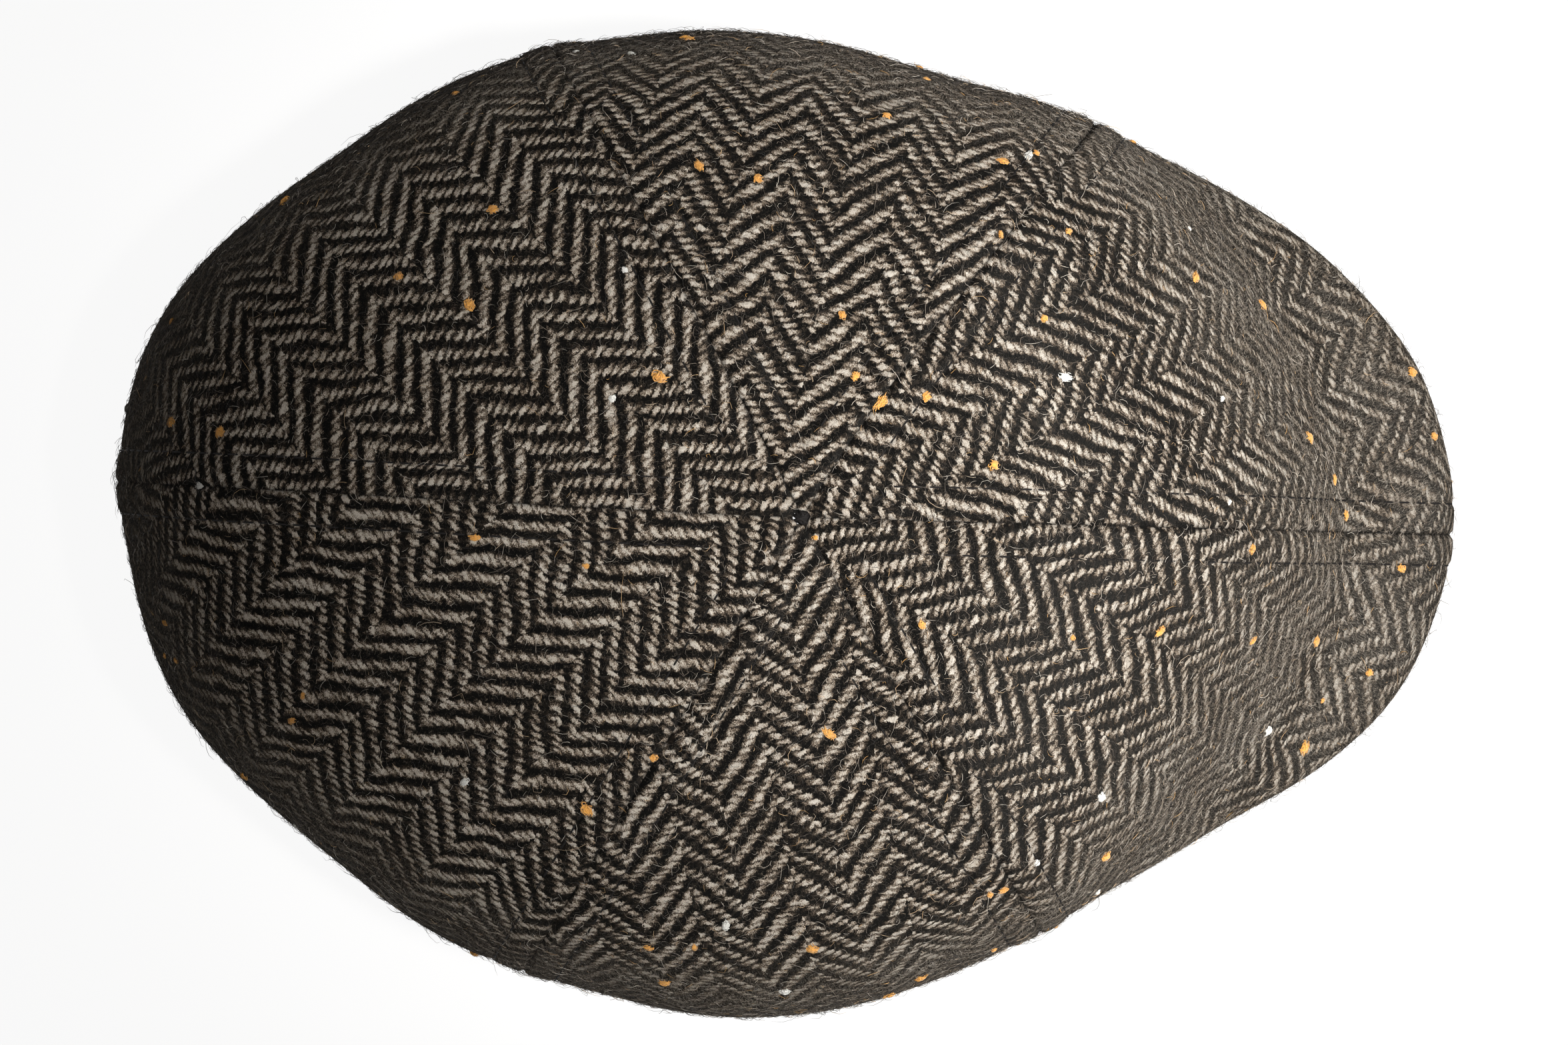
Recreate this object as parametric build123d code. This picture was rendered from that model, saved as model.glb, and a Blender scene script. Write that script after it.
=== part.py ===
from build123d import *

import math
import os

# Newsboy cap: six-panel wool crown, head band with sweatband, satin lining and a stiff visor.
# Millimetres. +X points to the front of the cap, +Y to the wearer's left and +Z up. The origin is the
# centre of the head opening, on the plane that the cap rests on.

# Head opening: an ellipse with the girth of a 58 cm head.
OPENING_LENGTH = 204.0
OPENING_WIDTH = 164.0

# Head band, from the inside out.
LAYER_GAP = 0.1
SWEATBAND_THICKNESS = 1.0
STIFFENER_THICKNESS = 0.8
WOOL_THICKNESS = 1.2
BAND_TOP = 30.0
BAND_FRONT_LIFT = 12.0  # how far the lower edge rises at the front, above the visor
FLAT_REST_TO_X = 40.0  # the lower edge lies flat from the back to here
SWEATBAND_LIFT = 1.0
SWEATBAND_TOP = 27.0

# Crown.
CROWN_CENTRE_X = 19.0
CROWN_TOP = 92.0
SEAM_AZIMUTHS = (0.0, 55.0, 118.0, 180.0, 242.0, 305.0)
PANEL_NAMES = ("front_left", "side_left", "back_left", "back_right", "side_right", "front_right")
SEAM_NAMES = ("front", "front_left", "back_left", "back", "back_right", "front_right")
OUTLINE_TERMS = (117.4, -2.2, 19.5, 2.8, 4.1)  # radius of the outline as a cosine series of the azimuth
FRONT_FOLD_FULL = 12.0  # azimuth up to which the crown has its front section, folded on the visor
FRONT_FOLD_NONE = 62.0  # azimuth from which it has its side section
POINT_RADIUS = 0.8  # the six panels stop this far from the middle, round the tack
SEAM_HALF_GAP = 0.1
TACK_HEIGHT = 2.2
TACK_PROUD = 0.2
SIDE_FOLD = 35.0  # height of the soft fold round the sides and back

# Lining, seam tapes and label.
LINING_THICKNESS = 0.5
LINING_DROP = 6.5
TAPE_THICKNESS = 0.6
TAPE_HALF_WIDTH = 6.0
TAPE_START_RADIUS = 14.0
TAPE_SPAN = (0.09, 0.55)  # shares of the crown's section that a tape runs between
LABEL_WIDTH = 22.0
LABEL_HEIGHT = 12.0
LABEL_THICKNESS = 0.5

# Visor: three layers on a cylinder whose axis slopes down to the front.
VISOR_ROOT_Z = 13.0
VISOR_SLOPE = 0.16
VISOR_ARCH_RADIUS = 220.0
VISOR_BOARD_THICKNESS = 1.4
VISOR_COVER_THICKNESS = 1.0
VISOR_BAND_GAP = 0.6
VISOR_TIP_X = 159.2
VISOR_CORNER = (56.0, 70.0)
VISOR_SHOULDER = (91.0, 74.0)
VISOR_CHEEK = (121.5, 58.5)
VISOR_BROW = (143.5, 40.0)
VISOR_HUB_X = 60.0  # the rim's points move towards here when the outline is inset
BOARD_INSET = 2.2

# Sew-on press stud that holds the crown front down on the visor.
STUD_X = 140.5
STUD_FLANGE_RADIUS = 4.0
STUD_FLANGE_THICKNESS = 0.4
STUD_POST_RADIUS = 1.7
STUD_CLEARANCE = 0.3
SOCKET_THICKNESS = 1.4
STUD_HOLE_RADIUS = 0.4
STUD_HOLE_CIRCLE = 3.1
STUD_HOLES = 4

CROWN_STATIONS = 44  # points along a crown panel, from the top to the band
LINING_STATIONS = 22
PANEL_COLUMNS = 9  # points across a panel
TAPE_STATIONS = 20
TAPE_COLUMNS = 5
BEYOND = 400.0  # longer than the cap, for blocks that cut right through it

outer_band_inset = SWEATBAND_THICKNESS + STIFFENER_THICKNESS + 2 * LAYER_GAP
band_outer_offset = outer_band_inset + WOOL_THICKNESS
visor_half_thickness = VISOR_BOARD_THICKNESS / 2 + LAYER_GAP + VISOR_COVER_THICKNESS
visor_root_x = OPENING_LENGTH / 2 + band_outer_offset
crown_foot = BAND_TOP - WOOL_THICKNESS - 0.2  # the crown's last edge meets the band's outside here


def smooth_step(value):
    """0 below 0, 1 above 1, and a smooth rise between."""
    share = min(1.0, max(0.0, value))
    return share * share * (3 - 2 * share)


def mix(first, second, share):
    """The value that lies share of the way from first to second."""
    return first + (second - first) * share


def spline_point(controls, share):
    """Point at share (0 to 1) of the clamped uniform cubic B-spline through these (r, z) controls."""
    spans = len(controls) - 3
    knots = [0] * 3 + list(range(spans + 1)) + [spans] * 3
    place = share * spans
    span = min(int(place), spans - 1) + 3
    points = [list(controls[span - 3 + i]) for i in range(4)]
    for level in range(1, 4):
        for i in range(3, level - 1, -1):
            low = knots[span - 3 + i]
            high = knots[span + 1 + i - level]
            weight = (place - low) / (high - low)
            points[i] = [mix(a, b, weight) for a, b in zip(points[i - 1], points[i])]
    return points[3]


def signed_azimuth(azimuth):
    """Azimuth in degrees from -180 to 180, with 0 at the front."""
    return (azimuth + 180.0) % 360.0 - 180.0


def outline_radius(azimuth):
    """Distance of the crown's outline from the crown centre."""
    angle = math.radians(azimuth)
    return sum(term * math.cos(order * angle) for order, term in enumerate(OUTLINE_TERMS))


def band_radius(azimuth, offset):
    """Distance from the crown centre to the opening's ellipse, grown by offset."""
    semi_x = OPENING_LENGTH / 2 + offset
    semi_y = OPENING_WIDTH / 2 + offset
    across = math.cos(math.radians(azimuth))
    along = math.sin(math.radians(azimuth))
    a = (across / semi_x) ** 2 + (along / semi_y) ** 2
    b = CROWN_CENTRE_X * across / semi_x**2
    c = (CROWN_CENTRE_X / semi_x) ** 2 - 1
    return (-b + math.sqrt(b * b - a * c)) / a


def visor_height(x, y):
    """Height of the visor's middle surface."""
    return VISOR_ROOT_Z - VISOR_SLOPE * (x - visor_root_x) - y * y / (2 * VISOR_ARCH_RADIUS)


def side_controls(azimuth):
    """Section of the crown at the sides and back: domed top, soft fold, and back in to the band."""
    edge = outline_radius(azimuth)
    band = band_radius(azimuth, band_outer_offset + LAYER_GAP)
    return [
        (POINT_RADIUS, CROWN_TOP),
        (0.22 * edge, CROWN_TOP),
        (0.45 * edge, CROWN_TOP - 1),
        (0.66 * edge, CROWN_TOP - 4),
        (0.83 * edge, CROWN_TOP - 11),
        (0.95 * edge, CROWN_TOP - 24),
        (1.00 * edge, SIDE_FOLD + 17),
        (1.02 * edge, SIDE_FOLD + 3),
        (1.00 * edge, SIDE_FOLD - 10),
        (0.94 * edge, SIDE_FOLD - 16),
        (mix(band, edge, 0.50), SIDE_FOLD - 14),
        (mix(band, edge, 0.18), crown_foot - 3.0),
        (band, crown_foot),
    ]


def front_controls(azimuth):
    """Section of the crown at the front: it falls to the visor, lies on it, folds and returns."""
    edge = outline_radius(azimuth)
    band = band_radius(azimuth, band_outer_offset + LAYER_GAP)
    angle = math.radians(azimuth)
    flat = [
        (POINT_RADIUS, CROWN_TOP),
        (0.16 * edge, CROWN_TOP),
        (0.34 * edge, CROWN_TOP - 4),
        (0.50 * edge, CROWN_TOP - 13),
        (0.64 * edge, CROWN_TOP - 27),
        (0.77 * edge, CROWN_TOP - 50),
    ]
    above_visor = [
        (0.84 * edge, 11.0),
        (0.92 * edge, 9.0),
        (1.00 * edge, 8.6),
        (1.02 * edge, 4.6),
        (0.97 * edge, 1.2),
        (0.83 * edge, 5.6),
    ]
    resting = []
    for radius, rise in above_visor:
        x = CROWN_CENTRE_X + radius * math.cos(angle)
        resting.append((radius, visor_height(x, radius * math.sin(angle)) + rise))
    return flat + resting + [(band, crown_foot)]


def crown_section(azimuth, share):
    """(radius, height) on the crown's outer surface."""
    turn = abs(signed_azimuth(azimuth))
    front = smooth_step((FRONT_FOLD_NONE - turn) / (FRONT_FOLD_NONE - FRONT_FOLD_FULL))
    pairs = zip(side_controls(azimuth), front_controls(azimuth))
    controls = [[mix(a, b, front) for a, b in zip(side, ahead)] for side, ahead in pairs]
    return spline_point(controls, share)


def lining_section(azimuth, share):
    """(radius, height) on the lining's outer surface, from the top down to the sweatband."""
    band = band_radius(azimuth, SWEATBAND_THICKNESS - LAYER_GAP)
    top = CROWN_TOP - LINING_DROP
    turn = abs(signed_azimuth(azimuth))
    dip = 5.0 * smooth_step((FRONT_FOLD_NONE - turn) / FRONT_FOLD_NONE)
    controls = [
        (POINT_RADIUS, top),
        (0.30 * band, top),
        (0.60 * band, top - 2 - dip),
        (0.88 * band, top - 10 - 2 * dip),
        (0.99 * band, top - 30),
        (1.00 * band, SWEATBAND_TOP + 12),
        (band, SWEATBAND_TOP + 0.2),
    ]
    return spline_point(controls, share)


def shell_point(section, azimuth_at, share, depth):
    """Point depth inside a surface of sections, where azimuth_at gives the azimuth at a radius."""
    step = 1e-3
    low = max(0.0, share - step)
    high = min(1.0, share + step)
    first_azimuth = azimuth_at(section(azimuth_at(0.0), share)[0])
    here = section(first_azimuth, share)
    azimuth = azimuth_at(here[0])
    before = section(azimuth, low)
    after = section(azimuth, high)
    run = after[0] - before[0]
    rise = after[1] - before[1]
    length = math.hypot(run, rise)
    radius = here[0] + depth * rise / length
    height = here[1] - depth * run / length
    if share == 0.0:
        radius = here[0]
    angle = math.radians(azimuth_at(radius))
    return Vector(CROWN_CENTRE_X + radius * math.cos(angle), radius * math.sin(angle), height)


def solid_between(outer, inner):
    """Closed solid between two surfaces built on point grids of the same size."""
    outer_face = Face.make_surface_from_array_of_points(outer, tol=0.01)
    inner_face = Face.make_surface_from_array_of_points(inner, tol=0.01)
    sides = []
    for edge in outer_face.edges():
        partner = inner_face.edges().sort_by(lambda other: (other @ 0.5 - edge @ 0.5).length)[0]
        sides.append(Face.make_surface_from_curves(edge, partner))
    return Solid(Shell([outer_face, inner_face, *sides]))


def gore(section, start, end, thickness, stations):
    """One panel of a crown or lining, between two seams with a hairline gap at each."""

    def column(side):
        def azimuth_at(radius):
            ease = math.degrees(math.asin(min(0.5, SEAM_HALF_GAP / max(radius, POINT_RADIUS))))
            return mix(start + ease, end - ease, side)

        return azimuth_at

    def grid(depth):
        rows = []
        for i in range(PANEL_COLUMNS):
            azimuth_at = column(i / (PANEL_COLUMNS - 1))
            shares = [j / (stations - 1) for j in range(stations)]
            rows.append([shell_point(section, azimuth_at, share, depth) for share in shares])
        return rows

    return solid_between(grid(0.0), grid(thickness))


def seam_tape(azimuth):
    """Tape under a crown seam, from near the middle down to the fold."""

    def azimuth_at_offset(offset):
        return lambda radius: azimuth + math.degrees(math.asin(offset / max(radius, TAPE_START_RADIUS)))

    def grid(depth):
        rows = []
        for i in range(TAPE_COLUMNS):
            offset = mix(-TAPE_HALF_WIDTH, TAPE_HALF_WIDTH, i / (TAPE_COLUMNS - 1))
            azimuth_at = azimuth_at_offset(offset)
            shares = [mix(*TAPE_SPAN, j / (TAPE_STATIONS - 1)) for j in range(TAPE_STATIONS)]
            rows.append([shell_point(crown_section, azimuth_at, share, depth) for share in shares])
        return rows

    top = WOOL_THICKNESS + 2 * LAYER_GAP
    return solid_between(grid(top), grid(top + TAPE_THICKNESS))


def band_ring(inner_offset, outer_offset, top, lift=0.0):
    """Elliptical ring whose lower edge lies flat at the back and rises in an arc at the front."""
    semi_x = OPENING_LENGTH / 2
    semi_y = OPENING_WIDTH / 2
    outer = extrude(Ellipse(semi_x + outer_offset, semi_y + outer_offset), amount=top)
    inner = extrude(Ellipse(semi_x + inner_offset, semi_y + inner_offset), amount=top)
    run = visor_root_x - FLAT_REST_TO_X
    arc_radius = (run**2 + BAND_FRONT_LIFT**2) / (2 * BAND_FRONT_LIFT)
    behind = Pos(FLAT_REST_TO_X - BEYOND / 2, 0, lift + BEYOND / 2) * Box(BEYOND, BEYOND, BEYOND)
    ahead = Pos(FLAT_REST_TO_X, 0, lift + arc_radius) * Rot(90, 0, 0) * Cylinder(arc_radius, BEYOND)
    return (outer - inner) & (behind + ahead)


def visor_layer(low, high):
    """Endless sheet between two heights over the visor's middle surface."""
    tilt = math.hypot(1, VISOR_SLOPE)
    normal = Vector(VISOR_SLOPE / tilt, 0, 1 / tilt)
    forward = Vector(1 / tilt, 0, -VISOR_SLOPE / tilt)
    centre = Vector(visor_root_x, 0, VISOR_ROOT_Z) - normal * VISOR_ARCH_RADIUS
    axis = Plane(origin=centre, z_dir=forward)
    return axis * (Cylinder(VISOR_ARCH_RADIUS + high, BEYOND) - Cylinder(VISOR_ARCH_RADIUS + low, BEYOND))


def visor_plan(inset=0.0):
    """Upright block with the visor's outline from above, hollowed for the head band."""
    hub = Vector(VISOR_HUB_X, 0)
    edge = [Vector(*point) - hub for point in (VISOR_CORNER, VISOR_SHOULDER, VISOR_CHEEK, VISOR_BROW)]
    left = [hub + point * (1 - inset / point.length) for point in edge]
    right = [Vector(point.X, -point.Y) for point in reversed(left)]
    rim = Spline(*left, (VISOR_TIP_X - inset, 0), *right)
    face = make_face([rim, Line(right[-1], left[0])])
    semi_x = OPENING_LENGTH / 2 + band_outer_offset + VISOR_BAND_GAP + inset
    semi_y = OPENING_WIDTH / 2 + band_outer_offset + VISOR_BAND_GAP + inset
    return extrude(face, amount=CROWN_TOP) - extrude(Ellipse(semi_x, semi_y), amount=CROWN_TOP)


def visor_parts():
    """Board, under cover, and an upper cover that turns down over the board's edge."""
    half = VISOR_BOARD_THICKNESS / 2
    low = half + LAYER_GAP
    high = low + VISOR_COVER_THICKNESS
    whole = visor_plan()
    board = visor_plan(BOARD_INSET) & visor_layer(-half, half)
    rim = (whole - visor_plan(BOARD_INSET - LAYER_GAP)) & visor_layer(-half, high)
    return {
        "visor_board": board,
        "visor_upper_cover": (whole & visor_layer(low, high)) + rim,
        "visor_under_cover": whole & visor_layer(-high, -low),
    }


def visor_plane(x, above):
    """Plane on the visor's centre line, above its middle surface, facing along its normal."""
    tilt = math.hypot(1, VISOR_SLOPE)
    normal = Vector(VISOR_SLOPE / tilt, 0, 1 / tilt)
    return Plane(origin=Vector(x, 0, visor_height(x, 0)) + normal * above, z_dir=normal)


def press_stud():
    """Ball half sewn on the visor and socket half sewn under the crown front."""
    drill = Cylinder(STUD_HOLE_RADIUS, 4 * SOCKET_THICKNESS)
    holes = [spot * drill for spot in PolarLocations(STUD_HOLE_CIRCLE, STUD_HOLES)]
    sewing = Part() + holes
    flange = extrude(Circle(STUD_FLANGE_RADIUS), STUD_FLANGE_THICKNESS)
    post_height = STUD_FLANGE_THICKNESS + STUD_CLEARANCE + SOCKET_THICKNESS - 2 * STUD_CLEARANCE
    ball = flange + extrude(Circle(STUD_POST_RADIUS), post_height) - sewing
    socket = extrude(Circle(STUD_FLANGE_RADIUS), SOCKET_THICKNESS) - sewing
    cavity = extrude(Circle(STUD_POST_RADIUS + STUD_CLEARANCE), SOCKET_THICKNESS - STUD_CLEARANCE)
    seat = visor_half_thickness + LAYER_GAP
    raised = seat + STUD_FLANGE_THICKNESS + STUD_CLEARANCE
    return {
        "visor_stud_ball": visor_plane(STUD_X, seat) * ball,
        "crown_stud_socket": visor_plane(STUD_X, raised) * (socket - cavity),
    }


def size_label():
    """Blank label on the inside of the sweatband, at the back."""
    ring = band_ring(-LAYER_GAP - LABEL_THICKNESS, -LAYER_GAP, SWEATBAND_TOP)
    middle = (SWEATBAND_LIFT + SWEATBAND_TOP) / 2
    return ring & Pos(-OPENING_LENGTH / 2, 0, middle) * Box(LABEL_WIDTH, LABEL_WIDTH, LABEL_HEIGHT)


def crown_point_tack():
    """Tack of thread and matted wool that fills the middle, where the six panels meet."""
    middle = Pos(CROWN_CENTRE_X, 0, CROWN_TOP + TACK_PROUD - TACK_HEIGHT / 2)
    return middle * Cylinder(POINT_RADIUS - LAYER_GAP, TACK_HEIGHT)


def all_parts():
    """Every piece of the cap, by name."""
    parts = {}
    starts = SEAM_AZIMUTHS
    ends = SEAM_AZIMUTHS[1:] + (360.0,)
    for name, start, end in zip(PANEL_NAMES, starts, ends):
        crown = gore(crown_section, start, end, WOOL_THICKNESS, CROWN_STATIONS)
        lining = gore(lining_section, start, end, LINING_THICKNESS, LINING_STATIONS)
        parts["crown_panel_" + name] = crown
        parts["lining_panel_" + name] = lining
    for name, azimuth in zip(SEAM_NAMES, SEAM_AZIMUTHS):
        parts["seam_tape_" + name] = seam_tape(azimuth)
    parts["head_band"] = band_ring(outer_band_inset, band_outer_offset, BAND_TOP)
    stiffener_start = SWEATBAND_THICKNESS + LAYER_GAP
    parts["band_stiffener"] = band_ring(
        stiffener_start, stiffener_start + STIFFENER_THICKNESS, BAND_TOP, SWEATBAND_LIFT
    )
    parts["sweatband"] = band_ring(0, SWEATBAND_THICKNESS, SWEATBAND_TOP, SWEATBAND_LIFT)
    parts["size_label"] = size_label()
    parts.update(visor_parts())
    parts.update(press_stud())
    parts["crown_point_tack"] = crown_point_tack()
    return parts


def main():
    os.makedirs("parts", exist_ok=True)
    for name, shape in all_parts().items():
        export_step(shape, f"parts/{name}.step")


main()
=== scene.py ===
import math

import bpy
import numpy as np
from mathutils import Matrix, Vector


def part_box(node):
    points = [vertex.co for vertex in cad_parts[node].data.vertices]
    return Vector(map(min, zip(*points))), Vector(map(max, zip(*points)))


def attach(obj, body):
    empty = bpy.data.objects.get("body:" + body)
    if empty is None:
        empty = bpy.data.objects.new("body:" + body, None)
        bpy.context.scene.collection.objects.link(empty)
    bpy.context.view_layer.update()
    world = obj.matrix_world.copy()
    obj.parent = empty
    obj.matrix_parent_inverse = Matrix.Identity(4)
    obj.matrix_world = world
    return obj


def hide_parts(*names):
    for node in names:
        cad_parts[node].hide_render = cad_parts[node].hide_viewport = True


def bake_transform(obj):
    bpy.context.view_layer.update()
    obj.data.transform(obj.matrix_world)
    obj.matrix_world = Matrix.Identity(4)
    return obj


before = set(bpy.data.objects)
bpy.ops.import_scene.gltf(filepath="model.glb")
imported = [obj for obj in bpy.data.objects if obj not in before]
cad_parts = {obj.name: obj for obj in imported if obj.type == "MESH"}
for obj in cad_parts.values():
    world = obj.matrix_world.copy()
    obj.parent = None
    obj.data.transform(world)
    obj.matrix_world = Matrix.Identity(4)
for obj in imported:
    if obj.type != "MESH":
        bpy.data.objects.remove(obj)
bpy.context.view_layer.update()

# Newsboy cap, in metres: +X front, +Y wearer's left, +Z up, origin in the middle of the head opening.
MM = 0.001

# ---------------------------------------------------------------- sizes

BAND_INSIDE = 2.0 * MM  # from the opening's ellipse out to the wool band
BAND_OUTSIDE = 3.2 * MM
BAND_FRONT_LIFT = 12.0 * MM  # how far the band's foot rises over the visor
FLAT_REST_TO_X = 40.0 * MM  # the foot is flat from the back to here
SWEATBAND_THICKNESS = 1.0 * MM
SWEATBAND_LIFT = 1.0 * MM
WOOL = 1.2 * MM
SATIN = 0.5 * MM

band_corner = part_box("head_band")[1]
OPENING_HALF = (band_corner[0] - BAND_OUTSIDE, band_corner[1] - BAND_OUTSIDE)
BAND_TOP = band_corner[2]
SWEATBAND_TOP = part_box("sweatband")[1][2]

tack_low, tack_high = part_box("crown_point_tack")
CENTRE_X = (tack_low[0] + tack_high[0]) / 2  # the point where the six panels meet
CROWN_TOP = tack_high[2] - 0.2 * MM
SIDE_FOLD = 35.0 * MM  # height where the crown turns under
FRONT_FOLD_FULL = 12.0  # degrees from the front
FRONT_FOLD_NONE = 62.0
CROWN_FOOT = BAND_TOP - 1.4 * MM
LINING_TOP = CROWN_TOP - 6.5 * MM

# Controls of the crown's section, from its middle outwards, as a share of the outline's radius and a height
# in millimetres: below the top, round the side fold, down the front, and above the visor's middle surface.
SIDE_TOP = ((0.0, 0), (0.22, 0), (0.45, 1), (0.66, 4), (0.83, 11), (0.95, 24))
SIDE_ROLL = ((1.00, 17), (1.02, 3), (1.00, -10), (0.94, -16))
FRONT_TOP = ((0.0, 0), (0.16, 0), (0.34, 4), (0.50, 13), (0.64, 27), (0.77, 50))
FRONT_OVER_VISOR = ((0.84, 11.0), (0.92, 9.0), (1.00, 8.6), (1.02, 4.6), (0.97, 1.2), (0.83, 5.6))

# Radius of the crown's outline round its middle, as cosine and sine series of the azimuth.
OUTLINE_COS = (117.0, -2.9, 19.6, 3.5, 4.5)
OUTLINE_SIN = {3: 2.0, 6: -0.8}

# Seam: name, azimuth in degrees at the edge, the extra turn it takes near the middle, and how far in
# millimetres its stiff turnings push out a corner at the crown's edge.
SEAMS = (
    ("front", -1.5, 0.0, 0.0),
    ("front_left", 53.0, 9.0, 0.0),
    ("back_left", 118.0, -1.0, 2.8),
    ("back", 177.0, 1.0, 3.4),
    ("back_right", 238.5, 1.0, 2.0),
    ("front_right", 300.0, -4.0, 0.6),
)
SWIRL_REACH = 32.0 * MM  # radius within which the seams take their extra turn
FIRST_GUESS = 120.0 * MM  # radius at which a seam's azimuth is first read
CORNER_WIDTH = 9.0  # degrees

# Panel: name, and the azimuth that its cloth's warp runs along.
PANELS = (
    ("front_left", 27.0),
    ("side_left", 78.0),
    ("back_left", 135.0),
    ("back_right", 222.0),
    ("side_right", 282.0),
    ("front_right", 327.0),
)

VISOR_ROOT_X = OPENING_HALF[0] + BAND_OUTSIDE
VISOR_ROOT_Z = 13.0 * MM
VISOR_SLOPE = 0.16
VISOR_ARCH_RADIUS = 220.0 * MM
VISOR_TIP_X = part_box("visor_upper_cover")[1][0]
VISOR_EDGE = ((56.0, 70.0), (91.0, 74.0), (121.5, 58.5), (143.5, 40.0))  # left half, in millimetres
VISOR_BAND_GAP = 0.6 * MM
BOARD_HALF = 0.7 * MM  # half the board's thickness
COVER_LOW = 0.8 * MM  # from the visor's middle surface to a cover's two faces
COVER_HIGH = 1.8 * MM

STITCH_OFFSET = 6.8 * MM  # from a crown seam to its topstitching
STITCH_PITCH = 3.7 * MM
STITCH_LENGTH = 2.9 * MM
THREAD_RADIUS = 0.20 * MM
STITCH_RISE = 0.10 * MM  # of a stitch's middle above the cloth
STITCHED_SHARE = 0.86  # of a panel's length, from the middle
VISOR_STITCH_INSET = 5.0 * MM

TAPE_HALF_WIDTH = 6.0 * MM
TAPE_END_SHARE = 0.55  # of a panel's length, from the middle

# Points of the grids that make the pieces.
PANEL_ROWS = 170
PANEL_COLUMNS = 97
RING_ROWS = 40
RING_COLUMNS = 481
VISOR_ROWS = 60
VISOR_COLUMNS = 221
NEP_STRANDS = 44
NEP_THICKNESS = (0.05, 0.09, 0.12, 0.12, 0.09, 0.05)  # along a strand, in sizes of the nep
LABEL_SIZE = (22.0 * MM, 12.0 * MM)
TACK_STRANDS = 26

YARN = 1.32  # millimetres between yarns
COLUMN_YARNS = 8  # yarns across a herringbone column


# ---------------------------------------------------------------- shapes


def smooth_step(value):
    """0 below 0, 1 above 1, and a smooth rise between."""
    share = np.clip(value, 0.0, 1.0)
    return share * share * (3 - 2 * share)


def unit(vectors):
    """The vectors, scaled to length 1."""
    return vectors / np.maximum(np.linalg.norm(vectors, axis=-1, keepdims=True), 1e-12)


def bell(distance, width):
    """1 at distance 0, falling to nothing within about two widths."""
    return np.exp(-((distance / width) ** 2))


def travelled(points):
    """Distance gone at each point of a path, or down each column of a grid of points."""
    steps = np.linalg.norm(np.diff(points, axis=0), axis=-1)
    return np.concatenate([np.zeros_like(steps[:1]), steps.cumsum(axis=0)])


def spline_weights(shares, count):
    """Weights of a clamped uniform cubic B-spline's controls at each share (0 to 1)."""
    knots = np.clip(np.arange(count + 4) - 3.0, 0, count - 3)
    place = np.clip(shares, 0, 1 - 1e-9)[:, None] * (count - 3)
    weights = ((knots[:-1] <= place) & (place < knots[1:])).astype(float)
    for degree in (1, 2, 3):
        wide = np.maximum(knots[degree:] - knots[:-degree], 1e-9)
        rising = (place - knots[:-degree - 1]) / wide[:-1] * weights[:, :-1]
        weights = rising + (knots[degree + 1:] - place) / wide[1:] * weights[:, 1:]
    return weights


def outline_radius(azimuth):
    """Distance of the crown's outline from its middle. Azimuths are in radians."""
    total = sum(term * np.cos(order * azimuth) for order, term in enumerate(OUTLINE_COS))
    total = total + sum(term * np.sin(order * azimuth) for order, term in OUTLINE_SIN.items())
    for _, place, _, corner in SEAMS:
        total = total + corner * np.exp(-turn_from(azimuth, place) / CORNER_WIDTH)
    return total * MM


def band_radius(azimuth, grown):
    """Distance from the crown's middle to the opening's ellipse, grown by a margin."""
    semi_x, semi_y = OPENING_HALF[0] + grown, OPENING_HALF[1] + grown
    a = (np.cos(azimuth) / semi_x) ** 2 + (np.sin(azimuth) / semi_y) ** 2
    b = CENTRE_X * np.cos(azimuth) / semi_x**2
    c = (CENTRE_X / semi_x) ** 2 - 1
    return (-b + np.sqrt(b * b - a * c)) / a


def visor_height(x, y):
    """Height of the visor's middle surface."""
    return VISOR_ROOT_Z - VISOR_SLOPE * (x - VISOR_ROOT_X) - y * y / (2 * VISOR_ARCH_RADIUS)


def turn_from(azimuth, place=0.0):
    """Degrees away from a place in degrees, the front unless given, 0 to 180."""
    return np.abs((np.degrees(azimuth) - place + 180) % 360 - 180)


def front_share(azimuth, full=0.0):
    """1 at the front and to this many degrees from it, 0 beyond the front's fold."""
    return smooth_step((FRONT_FOLD_NONE - turn_from(azimuth)) / (FRONT_FOLD_NONE - full))


def crown_controls(azimuth):
    """Control radii and heights of the crown's section at each azimuth, 13 of each."""
    edge = outline_radius(azimuth)
    band = band_radius(azimuth, BAND_OUTSIDE + 0.1 * MM)
    side = [(share * edge, CROWN_TOP - drop * MM) for share, drop in SIDE_TOP]
    side += [(share * edge, SIDE_FOLD + rise * MM) for share, rise in SIDE_ROLL]
    side += [
        (band + (edge - band) * 0.50, SIDE_FOLD - 14 * MM),
        (band + (edge - band) * 0.18, CROWN_FOOT - 3 * MM),
        (band, CROWN_FOOT),
    ]
    ahead = [(share * edge, CROWN_TOP - drop * MM) for share, drop in FRONT_TOP]
    for share, rise in FRONT_OVER_VISOR:
        x, y = CENTRE_X + share * edge * np.cos(azimuth), share * edge * np.sin(azimuth)
        ahead.append((share * edge, visor_height(x, y) + rise * MM))
    ahead.append((band, CROWN_FOOT))
    front = front_share(azimuth, FRONT_FOLD_FULL)
    mixed = [[a * (1 - front) + b * front for a, b in zip(*pair)] for pair in zip(side, ahead)]
    return tuple(np.array(part) for part in zip(*mixed))


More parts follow.
